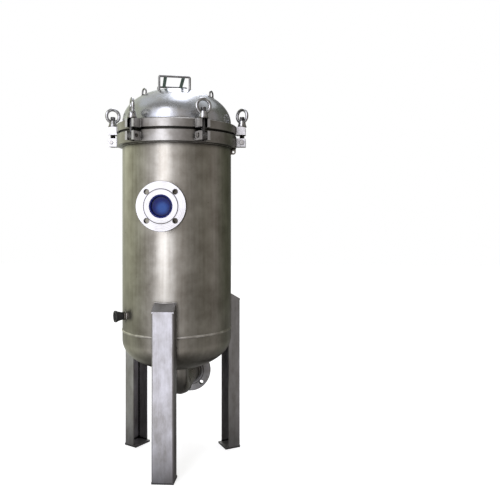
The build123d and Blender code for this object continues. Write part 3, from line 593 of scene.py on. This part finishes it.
class StudioSettings(PropertyGroup):
    """Camera and lamps."""
    lens: FloatProperty(
        name="Lens", description="Focal length", default=41.8, subtype="DISTANCE_CAMERA")
    viewpoint: FloatVectorProperty(
        name="Viewpoint", description="Where the camera stands",
        default=(0.515, -2.4226, 1.015), subtype="XYZ")
    heading: FloatProperty(
        name="Heading", description="Turn of the camera from straight ahead",
        default=radians(3.0), subtype="ANGLE")
    shift: FloatVectorProperty(
        name="Shift", description="Framing shift of the lens", default=(-0.0389, -0.0718), size=2)
    key_power: FloatProperty(
        name="Key", description="Strength of the tall lamp", default=40.0, subtype="POWER")
    back_power: FloatProperty(
        name="Back", description="Strength of the high lamp behind", default=39.0,
        subtype="POWER")
    lamp_colour: FloatVectorProperty(
        name="Lamp colour", description="Cool daylight of both lamps",
        default=(0.86, 0.88, 1.0), subtype="COLOR")


# ---------------- pieces
class HOUSING_OT_stage(Operator):
    """Places the camera, the lamps, the floor and the cards that the metal reflects"""
    bl_idname = "housing.stage"
    bl_label = "Stage"

    def execute(self, context):
        look = context.scene.housing_studio
        lens = bpy.data.cameras.new("camera")
        lens.lens = look.lens
        lens.sensor_width = 36.0
        lens.shift_x, lens.shift_y = look.shift
        camera = bpy.data.objects.new("camera", lens)
        camera.location = look.viewpoint
        camera.rotation_euler = (pi / 2, 0, look.heading)
        context.scene.collection.objects.link(camera)
        context.scene.camera = camera
        context.scene.view_settings.view_transform = "Standard"

        self.floor()
        self.walls()
        self.ceiling()
        self.sky(context)
        # A tall lamp by the camera draws the shell's bright streak, and a high one behind the
        # vessel whitens the top of the dome.
        self.lamp(context, "key_lamp", look.key_power, size=(1.1, 3.8),
                  place=outward(-15) * 2.8 + up * 2.3, target=up * 2.3)
        self.lamp(context, "back_lamp", look.back_power, size=(0.95, 3.9), roll=9.0,
                  place=outward(-173) * 1.08 + across(12) * 0.11 + up * 3.746,
                  target=up * 1.45)
        return {"FINISHED"}

    def lamp(self, context, name, power, size, place, target, roll=0.0):
        """A rectangular lamp that faces a target, turned about its beam by roll degrees."""
        light = bpy.data.lights.new(name, "AREA")
        light.shape = "RECTANGLE"
        light.size, light.size_y = size
        light.energy = power
        light.color = context.scene.housing_studio.lamp_colour
        holder = bpy.data.objects.new(name, light)
        holder.location = place
        aim = (place - target).to_track_quat("Z", "Y") @ Quaternion((0, 0, 1), radians(roll))
        holder.rotation_euler = aim.to_euler()
        holder.visible_camera = False
        context.scene.collection.objects.link(holder)

    def floor(self):
        """Matt paper that goes to plain white in the view and keeps soft shadows. In the metal it
        shows painted light as bright as the side of the studio that it lies towards, with a
        painted shadow under the vessel and paper painted darker."""
        made, tree, shader, place = start_material("white_paper_sweep", {"Roughness": 0.9})
        ray = add_node(tree, "LightPath")
        glossy = ray.outputs["Is Glossy Ray"]
        seen = add_node(tree, "Math", {0: ray.outputs["Is Camera Ray"],
                                       1: ray.outputs["Is Transmission Ray"]},
                        operation="MAXIMUM")
        # Distance from the middle in metres, and a quarter of the share of the light.
        shares = ((0.3, 0.01), (0.5, 0.16), (0.8, 0.38), (1.2, 0.52), (1.8, 0.42), (2.6, 0.2),
                  (3.6, 0.26))
        widest = 4.0
        stops = [(0.0, (0.005, 0.005, 0.005, 1)), (1.0, (0.5, 0.5, 0.5, 1))]
        stops += [(distance / widest, (share, share, share, 1)) for distance, share in shares]
        # The floor's glow in the metal is painted dim near the vessel: a painted shadow.
        away = add_node(tree, "VectorMath", {0: place}, operation="LENGTH")
        part = add_node(tree, "Math", {0: away.outputs["Value"]}, {1: widest}, operation="DIVIDE")
        near = add_node(tree, "ValToRGB", {"Fac": part.outputs[0]}, stops=stops)
        # The band of floor that runs to the tall lamp is lighter than the rest: a painted pool of
        # light that only the metal sees.
        heading = add_node(tree, "VectorMath", {0: place}, operation="NORMALIZE")
        facing = add_node(tree, "VectorMath", {0: heading.outputs[0]}, {1: outward(-14)},
                          operation="DOT_PRODUCT")
        painted_lamp_strip = add_node(tree, "MapRange", {"Value": facing.outputs["Value"]},
                         {"From Min": 0.75, "From Max": 0.97, "To Min": 4.0, "To Max": 6.4})
        level = add_node(tree, "Math", {0: near.outputs["Color"], 1: painted_lamp_strip.outputs["Result"]},
                         operation="MULTIPLY")
        side = add_node(tree, "Mix", {6: surroundings(tree, place), 7: level.outputs[0]},
                        {0: 1.0}, data_type="RGBA", blend_type="MULTIPLY")
        glow = add_node(tree, "Mix", {0: glossy, 7: side.outputs[2]}, {6: (0.6, 0.6, 0.6, 1)},
                        data_type="RGBA")
        # The paper is painted darker where the metal sees it: painted shade.
        paper = add_node(tree, "Mix", {0: glossy}, {6: linear("#ECEBE9"), 7: linear("#6E6D6B")},
                         data_type="RGBA")
        add_node(tree, "Math", {0: seen.outputs[0], 1: glossy}, operation="MAXIMUM",
                 feeds=shader.inputs["Emission Strength"])
        tree.links.new(paper.outputs[2], shader.inputs["Base Color"])
        tree.links.new(glow.outputs[2], shader.inputs["Emission Color"])
        mesh = bmesh.new()
        bmesh.ops.create_grid(mesh, x_segments=1, y_segments=1, size=9.0)
        return show("floor", from_bmesh("floor", mesh), made)

    def card(self, mesh, name, fade=None):
        """A card of the studio that shows only in the metal. It has the studio's light round its
        sides, or runs along a direction from one colour to another: fade is all three."""
        made, tree, _, place = start_material(name)
        glow = add_node(tree, "Emission", values={"Strength": 3.0})
        if fade:
            towards, start, end = fade
            along = add_node(tree, "VectorMath", {0: place}, {1: towards},
                             operation="DOT_PRODUCT")
            part = add_node(tree, "MapRange", {"Value": along.outputs["Value"]},
                            {"From Min": -0.1, "From Max": 0.9})
            shade = add_node(tree, "Mix", {0: part.outputs["Result"]},
                             {6: (*start, 1), 7: (*end, 1)}, data_type="RGBA")
            tree.links.new(shade.outputs[2], glow.inputs["Color"])
        else:
            tree.links.new(surroundings(tree, place), glow.inputs["Color"])
            rise = add_node(tree, "SeparateXYZ", {"Vector": place})
            level = add_node(tree, "MapRange", {"Value": rise.outputs["Z"]},
                             {"From Min": -0.1, "From Max": 0.7, "To Min": 2.3, "To Max": 3.0})
            # A pale panel hangs at the left, above the middle of the vessel.
            hung = outward(-112) * studio_radius + up * 1.7
            apart = add_node(tree, "VectorMath", {0: place}, {1: hung}, operation="DISTANCE")
            panel = add_node(tree, "MapRange", {"Value": apart.outputs["Value"]},
                             {"From Min": 0.4, "From Max": 1.2, "To Min": 1.8, "To Max": 1.0})
            add_node(tree, "Math", {0: level.outputs["Result"], 1: panel.outputs["Result"]},
                     operation="MULTIPLY", feeds=glow.inputs["Strength"])
        tree.links.new(glow.outputs[0], tree.nodes["Material Output"].inputs["Surface"])
        card = show(name, from_bmesh(name, mesh), made)
        card.visible_camera = card.visible_diffuse = False
        card.visible_shadow = card.visible_transmission = False
        return card

    def walls(self):
        """A card all round, with the light of each side."""
        mesh = bmesh.new()
        bmesh.ops.create_cone(mesh, cap_ends=False, segments=96, radius1=studio_radius,
                              radius2=studio_radius, depth=studio_top - studio_bottom)
        bmesh.ops.translate(mesh, verts=mesh.verts, vec=up * (studio_top + studio_bottom) / 2)
        bmesh.ops.reverse_faces(mesh, faces=mesh.faces)
        return self.card(mesh, "studio_cards")

    def ceiling(self):
        """A card overhead, pale towards the back and grey towards the camera."""
        mesh = bmesh.new()
        bmesh.ops.create_circle(mesh, cap_ends=True, segments=96, radius=studio_radius)
        bmesh.ops.translate(mesh, verts=mesh.verts, vec=up * (studio_top - 0.02))
        fade = (outward(12), (0.31, 0.32, 0.33), (0.14, 0.14, 0.14))
        return self.card(mesh, "ceiling_card", fade)

    def sky(self, context):
        """A world that is plain white to the eye and in the metal, and softer as a light."""
        world = bpy.data.worlds.new("studio")
        world.use_nodes = True
        tree = world.node_tree
        ray = add_node(tree, "LightPath")
        seen = add_node(tree, "Math", {0: ray.outputs["Is Camera Ray"],
                                       1: ray.outputs["Is Glossy Ray"]}, operation="MAXIMUM")
        clear = add_node(tree, "Math", {0: seen.outputs[0],
                                        1: ray.outputs["Is Transmission Ray"]},
                         operation="MAXIMUM")
        background = tree.nodes["Background"]
        background.inputs["Color"].default_value = (1, 1, 1, 1)
        add_node(tree, "MapRange", {"Value": clear.outputs[0]}, {"To Min": 0.55, "To Max": 1.0},
                 feeds=background.inputs["Strength"])
        context.scene.world = world


class HOUSING_OT_vessel(Operator):
    """Finishes the shell, its bottom head, pipes, flanges and legs"""
    bl_idname = "housing.vessel"
    bl_label = "Vessel"

    def execute(self, context):
        look = context.scene.housing_finish
        clothe(["shell", "lower_head"], satin_rolled_stainless())
        pipe = polished_stainless("satin_pipe_stainless", look.flange_colour, look.shell_shade,
                                  0.3, 0.0003)
        clothe(["inlet_pipe", "outlet_elbow", "outlet_pipe", "side_port_boss", "earth_lug"], pipe)
        rim = turned_stainless("turned_rim_stainless", (0, 0, 0), "Z", look.flange_colour,
                               look.flange_shade)
        clothe(["body_flange", "lid_flange"], rim)
        inlet = turned_stainless("turned_inlet_stainless", middle("inlet_flange"), "Y",
                                 linear("#A2A09F"), linear("#8F8C88"), drilled=True)
        clothe(["inlet_flange"], inlet)
        outlet = turned_stainless("turned_outlet_stainless", middle("outlet_flange"), "Y",
                                  linear("#A8A6A5"), linear("#858179"), drilled=True)
        clothe(["outlet_flange"], outlet)
        leg = brushed_stainless("brushed_leg_stainless", look.leg_colour, look.leg_shade, 0.41)
        clothe([*leg_azimuths, "leg_caps", "foot_plates"], leg)
        return {"FINISHED"}


class HOUSING_OT_closing_gear(Operator):
    """Finishes the lugs, swing bolts, washers and eye nuts"""
    bl_idname = "housing.closing_gear"
    bl_label = "Closing gear"

    def execute(self, context):
        look = context.scene.housing_finish
        lug = brushed_stainless("milled_lug_stainless", linear("#CFCDCC"), linear("#A5A29E"),
                                0.52)
        clothe(["clevis_lugs", "lid_lugs"], lug)
        clothe(swing_bolts, threaded_stainless())
        plain = polished_stainless("bright_bar_stainless", look.flange_colour,
                                   look.flange_shade, 0.26, 0.0002)
        clothe(["clevis_pins", *washers], plain)
        clothe(eye_nuts, cast_stainless())
        return {"FINISHED"}


class HOUSING_OT_lid(Operator):
    """Finishes the lid's dome, its handle, rails and lifting eyes"""
    bl_idname = "housing.lid"
    bl_label = "Lid"

    def execute(self, context):
        look = context.scene.housing_finish
        dome = polished_stainless("polished_dome_stainless", look.dome_colour, look.dome_shade,
                                  0.27, 0.00018)
        clothe(["lid_dome"], dome)
        bar = polished_stainless("polished_bar_stainless", linear("#8C8B89"), linear("#5F5D5A"),
                                 0.26, 0.0002)
        clothe(["lid_handle", "lifting_eyes"], bar)
        clothe(["handle_rails"], moulded_plastic("green_grip_vinyl", look.rail_colour, 0.5, 90.0))
        return {"FINISHED"}


class HOUSING_OT_plugs(Operator):
    """Finishes the blue plug of the inlet and the black plug of the side port"""
    bl_idname = "housing.plugs"
    bl_label = "Plugs"

    def execute(self, context):
        look = context.scene.housing_finish
        # The plug's sunk face is thin in its middle, a little low and to the right, and is
        # painted paler there: painted light coming through it.
        disc = (middle("inlet_plug") + Vector((0.004, -0.004, -0.006)),
                reach("inlet_plug") * 0.72, linear("#33549A"))
        blue = moulded_plastic("blue_polyethylene", look.plug_colour, 0.36, 60.0, 0.12, disc)
        clothe(["inlet_plug"], blue)
        black = moulded_plastic("black_polyethylene", look.port_colour, 0.45, 80.0)
        clothe(["side_port_plug"], black)
        return {"FINISHED"}


class HOUSING_OT_inside(Operator):
    """Finishes the tubesheet, baskets, hold-down, seals and collars"""
    bl_idname = "housing.inside"
    bl_label = "Inside"

    def execute(self, context):
        look = context.scene.housing_finish
        plate = polished_stainless("ground_plate_stainless", look.dome_shade, look.shell_shade,
                                   0.36, 0.0003)
        clothe(["support_ring", "tubesheet", "tubesheet_bolts", "hold_down", "hold_down_stud",
                "hold_down_nut", *baskets], plate)
        clothe(["o_ring", "tubesheet_gasket"], moulded_rubber())
        collar = moulded_plastic("white_polypropylene", linear("#E6E6E0"), 0.4, 70.0)
        clothe(["bag_collars"], collar)
        return {"FINISHED"}


class HOUSING_OT_bags(Operator):
    """Makes the felt bags that hang in the baskets, slack between their folds"""
    bl_idname = "housing.bags"
    bl_label = "Bags"

    def execute(self, context):
        sizes = context.scene.housing_bags
        felt = needled_felt()
        # Rings of a bag: each one's share of the radius, and its height above the floor.
        rings = [(0.93, 0.008), (0.985, 0.02)] + [(0.99, 0.03 + 0.38 * i / 14) for i in range(15)]
        slack_height = 0.4
        for name in filter_bags:
            low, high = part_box(name)
            centre = middle(name)
            radius = reach(name)
            mesh = bmesh.new()
            # The bag starts as its round floor, goes up in rings, and its mouth stays open.
            bmesh.ops.create_circle(mesh, cap_ends=True, segments=96, radius=radius * 0.8)
            bmesh.ops.translate(mesh, verts=mesh.verts,
                                vec=(centre.x, centre.y, low[2] + sizes.wall))
            rim = [edge for edge in mesh.edges if edge.is_boundary]
            for share, rise in rings:
                grown = bmesh.ops.extrude_edge_only(mesh, edges=rim)["geom"]
                rim = [item for item in grown if isinstance(item, bmesh.types.BMEdge)]
                for vert in grown:
                    if not isinstance(vert, bmesh.types.BMVert):
                        continue
                    turn = atan2(vert.co.y - centre.y, vert.co.x - centre.x)
                    fold = 0.5 + 0.5 * sin(sizes.folds * turn)
                    slack = sizes.slack * sin(pi * min(rise / slack_height, 1.0)) * fold
                    spread = radius * share - slack
                    vert.co = (centre.x + spread * cos(turn), centre.y + spread * sin(turn),
                               low[2] + rise)
            bmesh.ops.recalc_face_normals(mesh, faces=mesh.faces)
            bmesh.ops.solidify(mesh, geom=mesh.faces[:], thickness=sizes.wall)
            bag_name = name.replace("filter", "felt")
            bag = finish_piece(bag_name, from_bmesh(bag_name, mesh), felt, "vessel")
            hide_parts(name)
        return {"FINISHED"}


class HOUSING_OT_welds(Operator):
    """Lays the weld beads of the shell, heads, pipes, legs, handle and eyes"""
    bl_idname = "housing.welds"
    bl_label = "Welds"

    def execute(self, context):
        sizes = context.scene.housing_welds
        metal = weld_metal()
        # A bead in a corner stands this share of its radius off each of the two faces.
        corner = 0.2
        seam = ring(up * seam_height, shell_radius - sizes.seam * 0.62, 144)
        bead("shell_seam_weld", [(seam, True)], sizes.seam, metal, "vessel")
        under_flange = ring(up * (shell_top - sizes.small * corner),
                            shell_radius + sizes.small * corner, 144)
        bead("body_flange_weld", [(under_flange, True)], sizes.small, metal, "vessel")
        on_lid = ring(up * (lid_flange_top + sizes.fillet * corner),
                      shell_radius + sizes.fillet * corner, 144)
        bead("lid_dome_weld", [(on_lid, True)], sizes.fillet, metal, "lid")
        round_inlet = saddle(0, middle("inlet_pipe").z,
                             reach("inlet_pipe") + sizes.fillet * 0.4, 72, sizes.fillet * 0.3)
        bead("inlet_saddle_weld", [(round_inlet, True)], sizes.fillet, metal, "vessel")
        self.legs(sizes, metal)
        self.pipes(sizes, metal)
        self.lugs(sizes, metal)
        self.lid_feet(sizes, metal)
        return {"FINISHED"}

    def legs(self, sizes, metal):
        """Up one flank of each leg from the bottom head, along its sloping cap and down."""
        off_wall, start = 0.0005, seam_height - 0.036
        runs = []
        for azimuth in leg_azimuths.values():
            away, side = outward(azimuth), across(azimuth)
            foot = skin(shell_radius, leg_half_width, off_wall)
            run = [away * foot - side * leg_half_width + up * start]
            for i in range(13):
                aside = leg_half_width * (i / 6 - 1)
                near = skin(shell_radius, aside, off_wall)
                height = leg_cap_top + leg_cap_slope * (leg_reach - near)
                run.append(away * near + side * aside + up * height)
            run.append(away * foot + side * leg_half_width + up * start)
            runs.append((run, False))
        bead("leg_welds", runs, sizes.small, metal, "vessel")

    def pipes(self, sizes, metal):
        """Round the necks of both flanges, the elbow's two ends and the side port's boss."""
        inlet, outlet = up * middle("inlet_pipe").z, up * middle("outlet_pipe").z
        front, back, right = outward(0), outward(180), across(0)
        collar = reach("inlet_pipe") + 0.0015
        runs = [(ring(front * neck_reach + inlet, collar, 48, right, up), True),
                (ring(back * neck_reach + outlet, collar, 48, right, up), True),
                (ring(back * elbow_reach + outlet, collar - 0.001, 48, right, up), True),
                (ring(up * elbow_top, collar, 48, right, front), True),
                (saddle(port_azimuth, port_height, port_radius, 32), True)]
        bead("pipe_welds", runs, sizes.small, metal, "vessel")

    def lugs(self, sizes, metal):
        """Upright beads at both flanks of the lugs, on the flanges' rims."""
        lower, upper = [], []
        for azimuth in bolt_azimuths:
            for flank in (-lug_half_width, lug_half_width):
                root = (outward(azimuth) * skin(flange_radius, flank, 0.0003)
                        + across(azimuth) * flank)
                for runs, bottom, top in ((lower, shell_top + 0.004, shell_top + 0.036),
                                          (upper, joint_height + 0.009, lid_flange_top - 0.003)):
                    runs.append(([root + up * bottom, root + up * top], False))
        bead("clevis_welds", lower, sizes.small * 0.7, metal, "vessel")
        bead("lid_lug_welds", upper, sizes.small * 0.7, metal, "lid")

    def lid_feet(self, sizes, metal):
        """Rings round the feet of the handle's hoops and of the lifting eyes, on the dome."""
        feet = []
        right, back = across(handle_heading), outward(handle_heading + 180)
        for along in (-handle_half_width, handle_half_width):
            for aside in (-handle_half_length, handle_half_length):
                feet.append((right * (handle_shift + along) + back * aside, handle_foot))
        for azimuth in eye_azimuths:
            for aside in (-eye_half_width, eye_half_width):
                feet.append((outward(azimuth) * eye_circle + across(azimuth) * aside, eye_foot))
        runs = []
        for centre, radius in feet:
            spots = ring(centre, radius, 20)
            runs.append(([spot + up * dome_height(spot) for spot in spots], True))
        bead("lid_fitting_welds", runs, sizes.small * 0.7, metal, "lid")


class HOUSING_PT_panel(Panel):
    """Lists the pieces of the housing"""
    bl_idname = "HOUSING_PT_panel"
    bl_label = "Filter housing"
    bl_space_type = "VIEW_3D"
    bl_region_type = "UI"
    bl_category = "Filter Housing"

    def draw(self, context):
        for group in groups:
            settings = getattr(context.scene, group)
            box = self.layout.box()
            for name in settings.__annotations__:
                box.prop(settings, name)
        for step in steps:
            self.layout.operator(step.bl_idname)


groups = {"housing_studio": StudioSettings, "housing_finish": HousingFinish,
          "housing_welds": WeldSizes, "housing_bags": BagSizes}
steps = (HOUSING_OT_stage, HOUSING_OT_vessel, HOUSING_OT_closing_gear, HOUSING_OT_lid,
         HOUSING_OT_plugs, HOUSING_OT_inside, HOUSING_OT_bags, HOUSING_OT_welds)


def register():
    for group in groups.values():
        bpy.utils.register_class(group)
    for step in (*steps, HOUSING_PT_panel):
        bpy.utils.register_class(step)
    for name, group in groups.items():
        setattr(bpy.types.Scene, name, PointerProperty(type=group))


def unregister():
    for name in groups:
        delattr(bpy.types.Scene, name)
    for step in (HOUSING_PT_panel, *reversed(steps)):
        bpy.utils.unregister_class(step)
    for group in groups.values():
        bpy.utils.unregister_class(group)


def main():
    register()
    bpy.ops.housing.stage()
    bpy.ops.housing.vessel()
    bpy.ops.housing.closing_gear()
    bpy.ops.housing.lid()
    bpy.ops.housing.plugs()
    bpy.ops.housing.inside()
    bpy.ops.housing.bags()
    bpy.ops.housing.welds()


if __name__ == "__main__":
    main()
